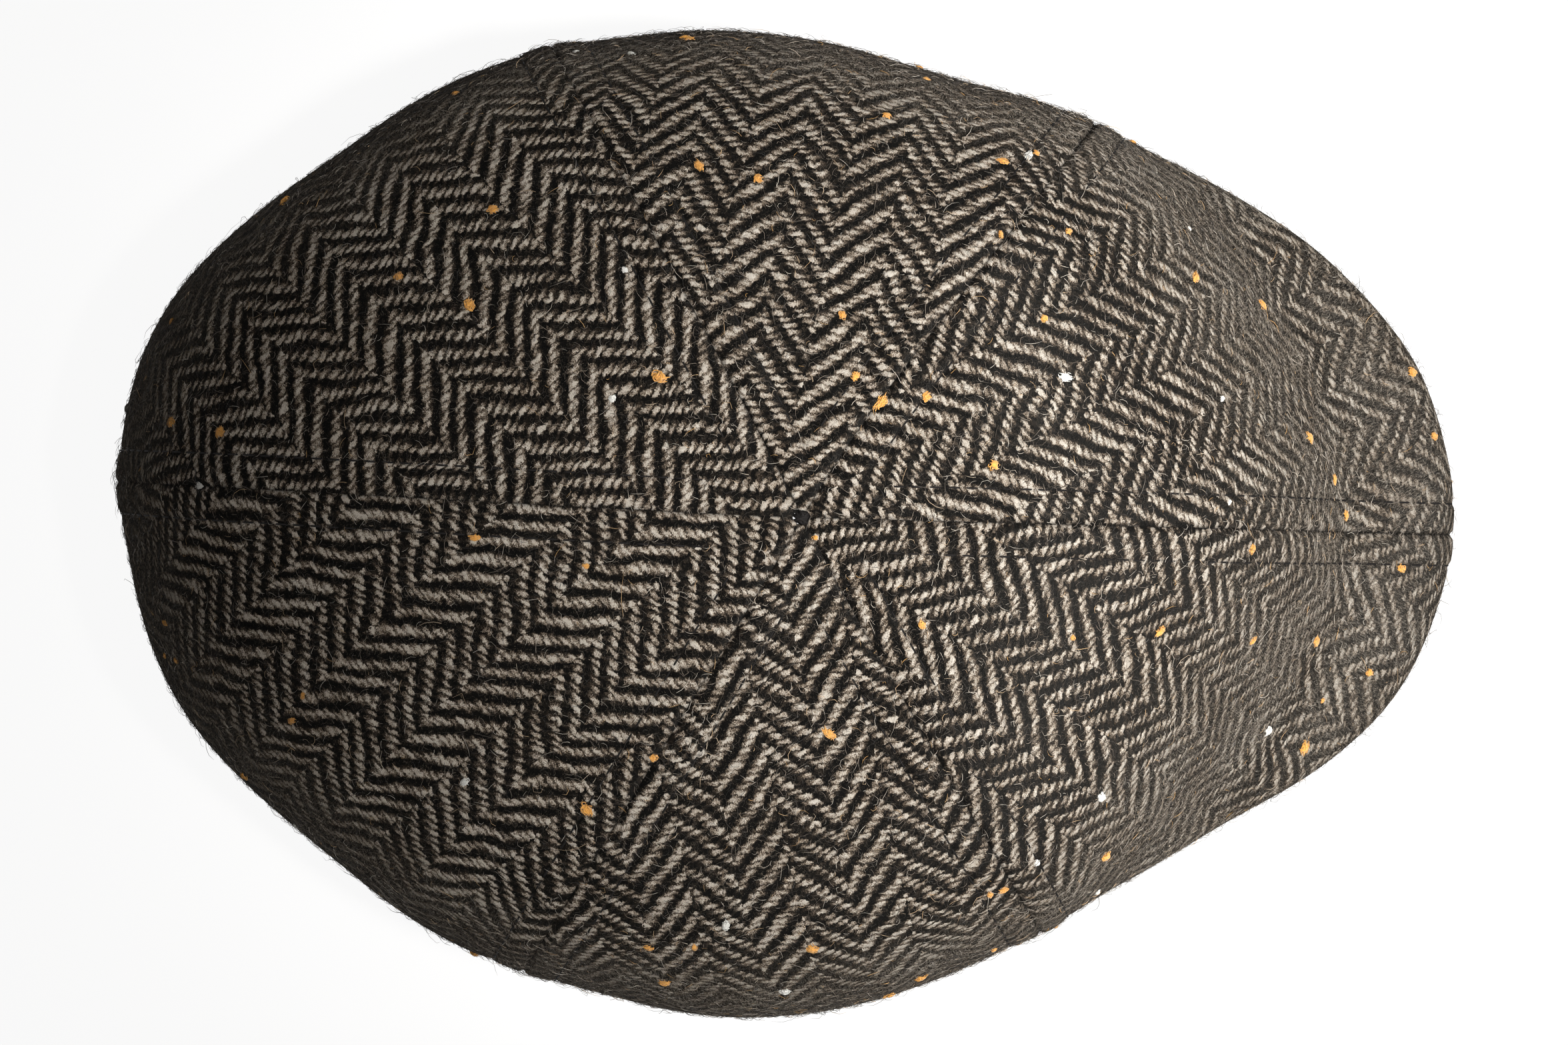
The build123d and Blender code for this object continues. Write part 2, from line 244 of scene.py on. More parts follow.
def lining_controls(azimuth):
    """Control radii and heights of the lining's section at each azimuth, 7 of each."""
    band = band_radius(azimuth, SWEATBAND_THICKNESS - 0.1 * MM)
    dip = 5.0 * MM * front_share(azimuth)
    controls = [
        (0.0, LINING_TOP),
        (0.30, LINING_TOP),
        (0.60, LINING_TOP - 2 * MM - dip),
        (0.88, LINING_TOP - 10 * MM - 2 * dip),
        (0.99, LINING_TOP - 30 * MM),
        (1.00, SWEATBAND_TOP + 12 * MM),
        (1.00, SWEATBAND_TOP + 0.2 * MM),
    ]
    heights = [height * np.ones_like(band) for _, height in controls]
    return np.array([share * band for share, _ in controls]), np.array(heights)


def seam_azimuth(index, radius):
    """Azimuth in radians of a seam at a distance from the crown's middle."""
    turns, place = divmod(index, len(SEAMS))
    _, edge_azimuth, swirl, _ = SEAMS[place]
    return np.radians(edge_azimuth + 360.0 * turns + swirl * np.exp(-radius / SWIRL_REACH))


def value_noise(points, size, seed):
    """Smooth noise from -1 to 1 over 3-D points, with lumps of about this size."""
    place = points / size + 37.0 * seed
    cell = np.floor(place).astype(np.int64)
    inside = place - cell
    ease = inside * inside * inside * (inside * (inside * 6 - 15) + 10)
    total = np.zeros(points.shape[:-1])
    for corner in range(8):
        step = np.array([corner & 1, corner >> 1 & 1, corner >> 2 & 1])
        key = (cell + step) * np.array([73856093, 19349663, 83492791])
        mixed = np.bitwise_xor.reduce(key, axis=-1) + seed * 2654435761
        mixed = (mixed ^ (mixed >> 13)) * 1274126177 & 0xFFFFFFFF
        value = ((mixed ^ (mixed >> 16)) & 0xFFFF) / 32767.5 - 1
        weight = np.prod(np.where(step == 1, ease, 1 - ease), axis=-1)
        total += value * weight
    return total


# ---------------------------------------------------------------- meshes


def add_mesh(name, points, blocks, uvs=None):
    """A smooth mesh object from points and blocks of faces, with per-point UVs in millimetres if given."""
    mesh = bpy.data.meshes.new(name)
    corners = np.concatenate([block.ravel() for block in blocks]).astype(np.int32)
    sizes = np.concatenate([np.full(len(block), block.shape[1]) for block in blocks])
    mesh.vertices.add(len(points))
    mesh.vertices.foreach_set("co", np.asarray(points, np.float32).ravel())
    mesh.loops.add(len(corners))
    mesh.loops.foreach_set("vertex_index", corners)
    mesh.polygons.add(len(sizes))
    mesh.polygons.foreach_set("loop_start", (np.cumsum(sizes) - sizes).astype(np.int32))
    if uvs is not None:
        layer = mesh.uv_layers.new(name="cloth")
        layer.data.foreach_set("uv", np.asarray(uvs, np.float32)[corners].ravel())
    mesh.update(calc_edges=True)
    mesh.validate()
    mesh.polygons.foreach_set("use_smooth", np.ones(len(sizes), dtype=bool))
    obj = bpy.data.objects.new(name, mesh)
    bpy.context.scene.collection.objects.link(obj)
    return obj


def add_attribute(obj, name, values):
    """One number per point of a mesh, for its material to read."""
    layer = obj.data.attributes.new(name, "FLOAT", "POINT")
    layer.data.foreach_set("value", np.asarray(values, dtype=np.float32))


def grid_faces(rows, columns, first=0, close=False):
    """Quads of a grid of points numbered row by row."""
    row = np.arange(rows - 1)[:, None] * columns
    column = np.arange(columns if close else columns - 1)[None, :]
    following = (column + 1) % columns
    quads = np.stack([row + column, row + following, row + columns + following, row + columns + column], -1)
    return (quads + first).reshape(-1, 4)


def surface_normals(grid):
    """Unit normals of a grid of points, pointing to the left of rows crossed with columns."""
    return unit(np.cross(np.gradient(grid, axis=0), np.gradient(grid, axis=1)))


def sheet_solid(name, outer, inner, uvs, attributes=None):
    """Closed mesh between two grids of points, with the same UVs on both."""
    rows, columns = outer.shape[:2]
    count = rows * columns
    left = np.arange(rows) * columns
    head = np.arange(columns)
    walls = [
        np.stack([line[:-1], line[:-1] + count, line[1:] + count, line[1:]], -1)
        for line in (left, left[::-1] + columns - 1, head[::-1], head + (rows - 1) * columns)
    ]
    blocks = [grid_faces(rows, columns)[:, ::-1], grid_faces(rows, columns, first=count), *walls]
    points = np.concatenate([outer.reshape(-1, 3), inner.reshape(-1, 3)])
    obj = add_mesh(name, points, blocks, np.concatenate([uvs.reshape(-1, 2)] * 2))
    for key, values in (attributes or {}).items():
        add_attribute(obj, key, np.concatenate([values.ravel()] * 2))
    return obj


# ---------------------------------------------------------------- crown


def lateral_places(columns, edge_share):
    """Places across a panel from 0 to 1, closer together near both seams."""
    even = np.linspace(0, 1, columns)
    return even - edge_share / (2 * math.pi) * np.sin(2 * math.pi * even)


def panel_frame(index, shares, places, controls):
    """A panel's grid as (radius, height, azimuth), points and normals, and its distance to each seam."""
    start, end = (seam_azimuth(index + step, FIRST_GUESS) for step in (0, 1))
    azimuth = start + (end - start) * places * np.ones((len(shares), 1))
    for _ in range(3):
        parts = controls(azimuth.ravel())
        weights = np.repeat(spline_weights(shares, len(parts[0])), len(places), axis=0)
        radius, height = (np.einsum("ij,ji->i", weights, part).reshape(azimuth.shape) for part in parts)
        start, end = seam_azimuth(index, radius), seam_azimuth(index + 1, radius)
        azimuth = start + (end - start) * places
    points = np.stack([CENTRE_X + radius * np.cos(azimuth), radius * np.sin(azimuth), height], axis=-1)
    polar = radius, height, azimuth
    return polar, points, surface_normals(points), radius * (azimuth - start), radius * (end - azimuth)


def cloth_uvs(radius, height, azimuth, grain):
    """Flat cloth coordinates in millimetres: along the warp, and across it."""
    run = np.hypot(np.diff(radius, axis=0), np.diff(height, axis=0))
    length = np.concatenate([radius[:1], run]).cumsum(axis=0)
    slope = np.gradient(radius, axis=0) / np.maximum(np.gradient(length, axis=0), 1e-9)
    slope = slope.mean(axis=1, keepdims=True)
    gentle = np.where(np.abs(slope) < 0.05, 0.05, slope)
    middle = (azimuth[:, :1] + azimuth[:, -1:]) / 2
    swing = azimuth - middle
    turn = gentle * swing
    reach = radius / gentle
    along = length - reach * (1 - np.cos(turn))
    across = reach * np.sin(turn)
    lean = middle - np.radians(grain)
    u = along * np.cos(lean) - across * np.sin(lean)
    v = along * np.sin(lean) + across * np.cos(lean)
    return np.stack([u, v], axis=-1) / MM


def declare_cut(piece, radius, height, azimuth):
    """Work out the flat cut of a panel, in metres along and across the grain of its middle; nothing is done
    with it.
    """
    straight = np.degrees(azimuth[:, :1] + azimuth[:, -1:]) / 2
    grid = cloth_uvs(radius, height, azimuth, straight) * MM


def seam_relief(near, radius, points):
    """How far the cloth stands out by its distance to the nearest seam: groove, seam turnings, stitches."""
    groove = -0.75 * MM * bell(near, 0.65 * MM) - 0.15 * MM * np.exp(-near / (2.0 * MM))
    turning = 0.30 * MM * smooth_step((STITCH_OFFSET + 1.0 * MM - near) / (1.6 * MM))
    stitched = -0.42 * MM * bell(near - STITCH_OFFSET, 0.7 * MM)
    puff = 0.35 * MM * (1 - np.exp(-near / (14 * MM)))
    pucker = value_noise(points, 9 * MM, 11) * 0.45 * MM * np.exp(-near / (9 * MM))
    fade = smooth_step(radius / (16 * MM))
    return (groove + turning + stitched) * (0.45 + 0.55 * fade) + puff * fade + pucker * fade


def crown_drape(points, azimuth, radius):
    """Slow hollows and swells of soft cloth, kept small on top and larger round the soft back."""
    back = smooth_step((turn_from(azimuth) - 60) / 80)
    broad = value_noise(points, 55 * MM, 3) * 1.3 * MM
    middling = value_noise(points, 24 * MM, 5) * 0.55 * MM
    edge = smooth_step((radius - 0.085) / 0.03)
    wave = np.sin(azimuth * 11 + 1.7) * 0.9 * MM * edge * back
    return broad * (0.7 + 0.5 * back) + middling + wave


def crown_panel(index):
    """One wool panel of the crown as a closed cloth mesh with herringbone coordinates."""
    name, grain = PANELS[index]
    shares = np.concatenate([[0.0022], np.linspace(0.006, 1.0, PANEL_ROWS - 1)])
    places = lateral_places(PANEL_COLUMNS, 0.72)
    polar, points, normals, from_start, from_end = panel_frame(index, shares, places, crown_controls)
    near = np.minimum(from_start, from_end)
    foot = smooth_step((1.0 - shares[:, None]) / 0.08)
    radius, _, azimuth = polar
    lift = seam_relief(near, radius, points) + crown_drape(points, azimuth, radius)
    outer = points + normals * (lift * foot)[..., None]
    inner = outer - normals * WOOL
    uvs = cloth_uvs(*polar, grain) + np.array([3.1, 7.7]) * (index + 1)
    # Painted shade: how dark the cloth is painted in each seam's groove and along its topstitching's line.
    painted_crease_shade = np.exp(-near / (0.35 * MM)) + 0.5 * bell(near - STITCH_OFFSET, 0.30 * MM)
    # Matted nap and painted sheen: steep slopes and the front rim get a hazier, greyer fuzz in place of the
    # weave's colour.
    steep = smooth_step((0.86 - normals[..., 2]) / 0.5) * smooth_step((normals[..., 2] + 0.1) / 0.3)
    rim = smooth_step((points[..., 0] - 110 * MM) / (25 * MM))
    nap_and_sheen = np.maximum(steep, 0.62 * rim)
    piece = sheet_solid("crown_" + name, outer, inner, uvs, {"painted_crease_shade": painted_crease_shade, "nap_and_sheen": nap_and_sheen})
    declare_cut(piece, *polar)
    return {"piece": piece, "outer": outer, "inner": inner, "normals": normals,
            "from_start": from_start, "from_end": from_end}


def seam_sides(panels, index):
    """On each side of a seam, from it outwards: distance to it, outer cloth, inner cloth and normals."""
    keys = ("outer", "inner", "normals")
    behind, ahead = panels[index - 1], panels[index]
    return ([behind["from_end"][:, ::-1], *(behind[key][:, ::-1] for key in keys)],
            [ahead["from_start"], *(ahead[key] for key in keys)])


def line_beside_seam(near_side, outer, _, normals):
    """Where a row of stitches runs on the cloth beside a seam, and the cloth's normals there."""
    path, facing = [], []
    for row in np.nonzero(near_side[:, outer.shape[1] // 2] >= STITCH_OFFSET * 1.15)[0]:
        gaps = near_side[row]
        column = int(np.searchsorted(gaps, STITCH_OFFSET))
        share = (STITCH_OFFSET - gaps[column - 1]) / (gaps[column] - gaps[column - 1])
        path.append(outer[row, column - 1] * (1 - share) + outer[row, column] * share)
        facing.append(normals[row, column])
    stop = int(len(path) * STITCHED_SHARE)
    return np.array(path[:stop]), np.array(facing[:stop])


def tube_bundle(name, paths, radii, sides):
    """One mesh of many closed round tubes. paths is (tubes, points, 3) and radii (tubes, points)."""
    count, steps = paths.shape[:2]
    tangent = unit(np.gradient(paths, axis=1))
    helper = np.where(np.abs(tangent[:, :1, 2:]) > 0.8, [1.0, 0.0, 0.0], [0.0, 0.0, 1.0])
    first = unit(np.cross(tangent, helper))
    second = np.cross(tangent, first)
    angles = (np.arange(sides) * 2 * math.pi / sides)[:, None]
    ring = first[..., None, :] * np.cos(angles) + second[..., None, :] * np.sin(angles)
    points = paths[..., None, :] + ring * radii[..., None, None]
    base = np.arange(count)[:, None] * steps * sides
    quads = (grid_faces(steps, sides, close=True).ravel() + base).reshape(-1, 4)
    starts = base + np.arange(sides)[::-1]
    ends = base + (steps - 1) * sides + np.arange(sides)
    return add_mesh(name, points.reshape(-1, 3), [quads, starts, ends])


def stitch_rows(name, rows, pitch, length, radius):
    """Stitches along (path, normals) rows, each a short thread that dives into the cloth at both ends."""
    shares = np.linspace(0, 1, 7)
    ends = np.abs(2 * shares - 1)
    arch = STITCH_RISE - (STITCH_RISE + 1.6 * radius) * ends**3
    paths = []
    for path, facing in rows:
        gone = travelled(path)
        places = np.arange(0.5 * pitch, gone[-1] - length, pitch)[:, None] + shares * length
        points, up = (
            np.stack([np.interp(places, gone, line) for line in values.T], -1) for values in (path, facing)
        )
        paths.append(points + up * arch[:, None])
    paths = np.concatenate(paths)
    return tube_bundle(name, paths, radius * (1 - 0.25 * ends**4) * np.ones(paths.shape[:2]), 6)


def topstitching(index, panels):
    """Both rows of stitches beside a seam."""
    rows = [line_beside_seam(*side) for side in seam_sides(panels, index)[::-1]]
    return stitch_rows("topstitch_" + SEAMS[index][0], rows, STITCH_PITCH, STITCH_LENGTH, THREAD_RADIUS)


def scatter(panels, count, rng, top_share):
    """Random places on the crown's cloth: points, normals, and directions down and across the panel."""
    spots, facings, runs = [], [], []
    for panel in panels:
        rows = int(PANEL_ROWS * top_share)
        outer, normals = panel["outer"][:rows], panel["normals"][:rows]
        down = outer[1:, :-1] - outer[:-1, :-1]
        across = outer[:-1, 1:] - outer[:-1, :-1]
        area = np.linalg.norm(np.cross(down, across), axis=-1).ravel()
        chosen = rng.choice(len(area), size=count // len(panels), p=area / area.sum())
        row, column = np.divmod(chosen, outer.shape[1] - 1)
        a, b = rng.random((2, len(chosen), 1))
        spots.append(outer[row, column] + down[row, column] * a + across[row, column] * b)
        facings.append(normals[row, column])
        runs.append(unit(down[row, column]))
    up, run = np.concatenate(facings), np.concatenate(runs)
    return np.concatenate(spots), up, run, np.cross(up, run)


def neps(name, panels, count, seed, size):
    """Small felted knots of coloured wool caught in the weave, each wound from short thick strands."""
    rng = np.random.default_rng(seed)
    spots, up, run, side = scatter(panels, count, rng, 0.74)
    total, strands = len(spots), NEP_STRANDS
    scale = size * rng.uniform(0.55, 1.25, total)
    stretch, turn = rng.uniform(1.0, 1.8, total)[:, None, None], rng.uniform(0, math.pi, total)[:, None]
    first = run * np.cos(turn) + side * np.sin(turn)
    second = np.cross(up, first)
    heading = rng.uniform(0, 2 * math.pi, (total, strands, 1))
    shares = np.linspace(-1, 1, len(NEP_THICKNESS))
    bow = rng.normal(0, 0.35, (total, strands, 1)) * (1 - shares**2)
    middle = rng.normal(0, 0.30, (total, strands, 2))
    out = rng.uniform(0.25, 0.85, (total, strands, 1)) * shares
    x = (out * np.cos(heading) - bow * np.sin(heading) + middle[..., :1]) * stretch
    y = out * np.sin(heading) + bow * np.cos(heading) + middle[..., 1:]
    z = 0.42 - 0.35 * ((x / stretch) ** 2 + y**2) + rng.uniform(-0.2, 0.2, (total, strands, 1))
    parts = [values[..., None] * axis[:, None, None] for values, axis in ((x, first), (y, second), (z, up))]
    points = spots[:, None, None] + sum(parts) * scale[:, None, None, None]
    thick = np.array(NEP_THICKNESS) * scale[:, None, None] * np.ones((total, strands, 1))
    return tube_bundle(name, points.reshape(-1, len(shares), 3), thick.reshape(-1, len(shares)), 4)


def pile(name, panels, count, seed, mean_length, radius):
    """Fine curling fibres that stand out of the wool, each a strand of triangular section."""
    rng = np.random.default_rng(seed)
    spots, up, run, side = scatter(panels, count, rng, 0.86)
    total = len(spots)
    heading = rng.uniform(0, 2 * math.pi, total)
    length = mean_length * rng.lognormal(0.0, 0.4, total)
    lift = rng.uniform(0.05, 0.8, total)
    curl = rng.normal(0, 2.0, total)
    line = [spots - up * 0.15 * MM]
    for share in (0.2, 0.55, 0.9):
        angle = (heading + curl * share)[:, None]
        flat = run * np.cos(angle) + side * np.sin(angle)
        line.append(line[-1] + (flat + up * (lift * (1.1 - 1.5 * share))[:, None]) * (length / 3)[:, None])
    thickness = radius * rng.uniform(0.7, 1.3, total)[:, None] * np.array([1.0, 0.95, 0.8, 0.35])
    piece = tube_bundle(name, np.stack(line, axis=1), thickness, 3)
    add_attribute(piece, "tint", np.repeat(rng.random(total), 12))
    return piece


def seam_tape(index, panels):
    """Cotton tape that covers a crown seam inside, following the cloth."""
    both = seam_sides(panels, index)
    reach = np.linspace(0, TAPE_HALF_WIDTH, 6)
    rows = []
    for row in range(int(PANEL_ROWS * TAPE_END_SHARE) + 1):
        if min(gaps[row, -1] for gaps, *_ in both) < 2.4 * TAPE_HALF_WIDTH:
            continue
        first, second = (
            np.stack([np.interp(reach, gaps[row], line) for line in (*inner[row].T, *normals[row].T)], -1)
            for gaps, _, inner, normals in both
        )
        rows.append(np.concatenate([first[:0:-1], (first[:1] + second[:1]) / 2, second[1:]]))
    grid = np.array(rows)
    cloth, normals = grid[..., :3], grid[..., 3:]
    flat = np.stack(np.meshgrid(np.arange(len(rows)) * 1.0, np.linspace(-6, 6, 11), indexing="ij"), -1)
    return sheet_solid("tape_" + SEAMS[index][0], cloth - normals * 0.1 * MM, cloth - normals * 0.6 * MM, flat)


def crown_tack(top):
    """Matted knot of wool and thread that fills the point where the six panels meet."""
    rng = np.random.default_rng(5)
    paths = []
    for _ in range(TACK_STRANDS):
        turn, tilt = rng.uniform(0, 2 * math.pi), rng.uniform(-0.4, 0.4)
        reach = rng.uniform(0.7, 1.9) * MM
        shares = np.linspace(-1, 1, 7)
        bow = rng.uniform(-0.6, 0.6) * MM * (1 - shares**2)
        x = CENTRE_X + shares * reach * math.cos(turn) - bow * math.sin(turn) + rng.normal(0, 0.4) * MM
        y = shares * reach * math.sin(turn) + bow * math.cos(turn) + rng.normal(0, 0.4) * MM
        z = top - 0.75 * MM - (1.0 * shares**2 + tilt * shares - rng.uniform(0, 0.5)) * MM
        paths.append(np.stack([x, y, z], -1))
    return tube_bundle("crown_tack", np.array(paths), np.full((TACK_STRANDS, 7), 0.34 * MM), 6)


# ---------------------------------------------------------------- lining


def lining_panel(index):
    """One satin panel of the lining, gathered a little towards the sweatband."""
    shares = np.linspace(0.006, 1.0, 72)
    places = lateral_places(49, 0.5)
    polar, points, normals, from_start, from_end = panel_frame(index, shares, places, lining_controls)
    low = smooth_step((shares[:, None] - 0.55) / 0.35)
    held = 1 - smooth_step((shares[:, None] - 0.93) / 0.06)
    folds = np.sin(polar[2] * 46 + 2.2 * value_noise(points, 18 * MM, 8)) * 0.42 * MM * low
    loose = value_noise(points, 21 * MM, 9) * 0.55 * MM + value_noise(points, 8 * MM, 10) * 0.16 * MM
    seam = 0.5 * MM * bell(np.minimum(from_start, from_end), 1.1 * MM)
    inner = points - normals * (1.1 * MM + (folds + loose + seam) * held)[..., None]
    outer = inner + normals * SATIN
    name, grain = PANELS[index]
    piece = sheet_solid("lining_" + name, outer, inner, cloth_uvs(*polar, grain))
    declare_cut(piece, *polar)
    return piece


# ---------------------------------------------------------------- band


def band_foot(x):
    """Height of the band's lower edge: flat at the back, rising in an arc over the visor."""
    run = VISOR_ROOT_X - FLAT_REST_TO_X
    arc = (run**2 + BAND_FRONT_LIFT**2) / (2 * BAND_FRONT_LIFT)
    past = np.maximum(x - FLAT_REST_TO_X, 0)
    return arc - np.sqrt(arc**2 - past**2)


def round_edge(shares, reach):
    """Thickness from 0 to 1 across a strip whose two edges are rounded."""
    edge = np.clip((np.abs(2 * shares - 1) - (1 - reach)) / reach, 0, 1)
    return np.sqrt(np.maximum(1 - edge**2, 0.02))


def ring_normal(turn):
    """Outward normal of the opening's ellipse at each turn in radians."""
    return unit(np.stack([np.cos(turn) / OPENING_HALF[0], np.sin(turn) / OPENING_HALF[1], 0 * turn], -1))


def ring_points(turn, out, height):
    """Points this far outside the opening's ellipse, at each turn in radians and height."""
    ring = np.stack([OPENING_HALF[0] * np.cos(turn), OPENING_HALF[1] * np.sin(turn), height], -1)
    return ring + ring_normal(turn) * np.asarray(out)[..., None]


def ring_strip(name, inside, outside, top, lift, wobble, reach):
    """Strip of cloth or leather round the opening, from its top edge to its foot, with a seam at the back."""
    down = 0.5 - 0.5 * np.cos(np.linspace(0, math.pi, RING_ROWS))
    shares, turn = np.meshgrid(down, np.linspace(-math.pi, math.pi, RING_COLUMNS), indexing="ij")
    middle, half = (inside + outside) / 2, (outside - inside) / 2 * round_edge(shares, reach)
    height = top + (band_foot(OPENING_HALF[0] * np.cos(turn)) + lift - top) * shares
    from_back = (math.pi - np.abs(turn)) * OPENING_HALF[0]
    around = np.stack([np.cos(turn), np.sin(turn), height * 8], -1) * 0.1
    seam = 0.5 * MM * bell(from_back, 1.2 * MM)
    swell = wobble * value_noise(around, 0.03, 14) * np.sin(math.pi * shares) - seam
    outer, inner = (ring_points(turn, middle + side * half + swell, height) for side in (1, -1))
    length = travelled(outer[RING_ROWS // 2, :, :2]) * np.ones((RING_ROWS, 1))
    # Painted shade along the strip's back seam.
    painted_crease_shade = np.exp(-from_back / (1.0 * MM))
    return sheet_solid(name, outer, inner, np.stack([height, length], -1) / MM, {"painted_crease_shade": painted_crease_shade})


def ring_stitches(name, out, rise, side):
    """A row of stitches round a ring strip, a little above its foot. side is 1 outside and -1 inside."""
    turn = np.linspace(-math.pi + 0.02, math.pi - 0.02, 900)
    path = ring_points(turn, out, 0 * turn)
    path[:, 2] = band_foot(path[:, 0]) + rise
    return stitch_rows(name, [(path, ring_normal(turn) * side)], 3.0 * MM, 2.22 * MM, 0.2 * MM)


def size_label():
    """Blank cloth label sewn inside the sweatband, at the back, and its two rows of stitches."""
    rows, columns = 25, 37
    across = np.linspace(-LABEL_SIZE[0] / 2, LABEL_SIZE[0] / 2, columns)
    shares, across = np.meshgrid(np.linspace(0, 1, rows), across, indexing="ij")
    height = (SWEATBAND_LIFT + SWEATBAND_TOP) / 2 + (0.5 - shares) * LABEL_SIZE[1]
    turn = math.pi + across / OPENING_HALF[1]
    bulge = 0.25 * MM * np.sin(math.pi * shares) * (0.6 + 0.4 * np.cos(across / (4 * MM)))
    back, face = (ring_points(turn, -depth * MM - bulge, height) for depth in (0.1, 0.5))
    label = sheet_solid("label", back, face, np.stack([height, across], -1) / MM)
    inwards = np.tile([1.0, 0.0, 0.0], (rows - 2, 1))
    sewn = [(face[1:-1, column], inwards) for column in (2, columns - 3)]
    return label, stitch_rows("label_stitches", sewn, 1.6 * MM, 1.2 * MM, 0.13 * MM)


# ---------------------------------------------------------------- visor


def smooth_curve(points, count):
    """Points evenly along the natural cubic spline through a list of points."""
    points = np.asarray(points, float)
    knots = travelled(points)
    gaps = np.diff(knots)
    slopes = np.diff(points, axis=0) / gaps[:, None]
    size = len(points)
    system, wanted = np.eye(size), np.zeros_like(points)
    for i in range(1, size - 1):
        system[i, i - 1:i + 2] = gaps[i - 1], 2 * (gaps[i - 1] + gaps[i]), gaps[i]
        wanted[i] = 6 * (slopes[i] - slopes[i - 1])
    bend = np.linalg.solve(system, wanted)
    places = np.linspace(0, knots[-1], count)
    span = np.clip(np.searchsorted(knots, places) - 1, 0, size - 2)
    low, high = (places - knots[span])[:, None], (knots[span + 1] - places)[:, None]
    gap = gaps[span][:, None]
    line = points[span] * high / gap + points[span + 1] * low / gap
    cubic = bend[span] * (high**3 / gap - gap * high) + bend[span + 1] * (low**3 / gap - gap * low)
    return line + cubic / 6


def visor_outline():
    """Matching points along the band and along the visor's rim, from right to left."""
    left = [(x * MM, y * MM) for x, y in VISOR_EDGE]
    right = [(x, -y) for x, y in left]
    rim = smooth_curve(right + [(VISOR_TIP_X, 0.0)] + left[::-1], 1201)
    semi = np.array(OPENING_HALF) + BAND_OUTSIDE + VISOR_BAND_GAP
    clear = np.nonzero(((rim / semi) ** 2).sum(axis=1) > 1.012)[0]
    rim = rim[np.linspace(clear[0], clear[-1], VISOR_COLUMNS).astype(int)]
    first, last = (math.atan2(*(rim[end] / semi)[::-1]) for end in (0, -1))
    turn = np.linspace(first, last, VISOR_COLUMNS)
    return np.stack([np.cos(turn), np.sin(turn)], -1) * semi, rim


def visor_sheet(name, upper, lower):
    """Sheet over the visor between two profiles of (share from band to rim, inset from the rim, height)."""
    root, rim = visor_outline()
    reach = np.linalg.norm(rim - root, axis=-1, keepdims=True)
    grids = []
    for profile in (upper, lower):
        share, inset, rise = (np.array(part)[:, None] for part in zip(*profile))
        inset = np.minimum(inset * MM, 0.35 * reach.T)[..., None]
        plan = root + (rim - (rim - root) / reach * inset - root) * share[..., None]
        x, y = plan[..., 0], plan[..., 1]
        middle = visor_height(x, y)
        normal = unit(np.stack([0 * x + VISOR_SLOPE, y / VISOR_ARCH_RADIUS, 0 * x + 1], -1))
        grids.append(np.stack([x, y, middle], -1) + normal * (rise * MM)[..., None])
    uvs = (root + (rim - root) / reach * travelled(grids[0])[..., None]) / MM
    return sheet_solid(name, *grids, uvs), grids


def spread(inset, rise, count=VISOR_ROWS):
    """Profile of evenly spread rows from the band out to an inset from the rim."""
    return [(share, inset, rise) for share in np.linspace(0, 1, count)]


def visor_pieces():
    """Upper cover turned down over the rim, board and under cover."""
    high, low, board = (size / MM for size in (COVER_HIGH, COVER_LOW, BOARD_HALF))
    round_over = [(1, 1.0 - math.sin(a), high - 1.0 + math.cos(a)) for a in np.linspace(0.2, math.pi / 2, 6)]
    side = [(1, 0.0, z) for z in np.linspace(high - 1.3, -board, 5)]
    under_turn = [(1, 2.1, low)] * 3 + [(1, 2.1 - 0.1 * k, low - 0.2 * k) for k in range(3)]
    under_side = [(1, 1.0, z) for z in np.linspace(low - 0.8, -board, 5)]
    upper, under = spread(1.0, high) + round_over + side, spread(2.1, low) + under_turn + under_side
    cover, cover_grids = visor_sheet("visor_cloth_upper", upper, under)
    stiff, _ = visor_sheet("visor_stiffener", spread(2.4, board, 50), spread(2.4, -board, 50))
    below = spread(0.9, -low) + [(1, 0.5, -low), (1, 0.2, -low - 0.15), (1, 0.0, -low - 0.4)]
    lowest = spread(0.9, -high) + [(1, 0.6, -high + 0.03), (1, 0.25, -high + 0.15), (1, 0.0, -high + 0.45)]
    under_cover, under_grids = visor_sheet("visor_cloth_under", below, lowest)
    return cover, stiff, under_cover, cover_grids[0], under_grids[1]


def visor_stitches(name, surface, side):
    """Row of stitches near the visor's rim, on its upper (1) or under (-1) cloth."""
    root, rim = visor_outline()
    normals = surface_normals(surface) * side
    path, facing = [], []
    for column in np.nonzero(np.linalg.norm(rim - root, axis=-1) >= 11 * MM)[0]:
        gaps = np.linalg.norm(surface[:VISOR_ROWS, column, :2] - rim[column], axis=-1)[::-1]
        row = VISOR_ROWS - 1 - np.interp(VISOR_STITCH_INSET, gaps, np.arange(VISOR_ROWS))
        low = int(row)
        path.append(surface[low, column] * (1 - row + low) + surface[low + 1, column] * (row - low))
        facing.append(normals[low, column])
    return stitch_rows(name, [(np.array(path), np.array(facing))], 3.0 * MM, 2.3 * MM, 0.2 * MM)


# ---------------------------------------------------------------- materials


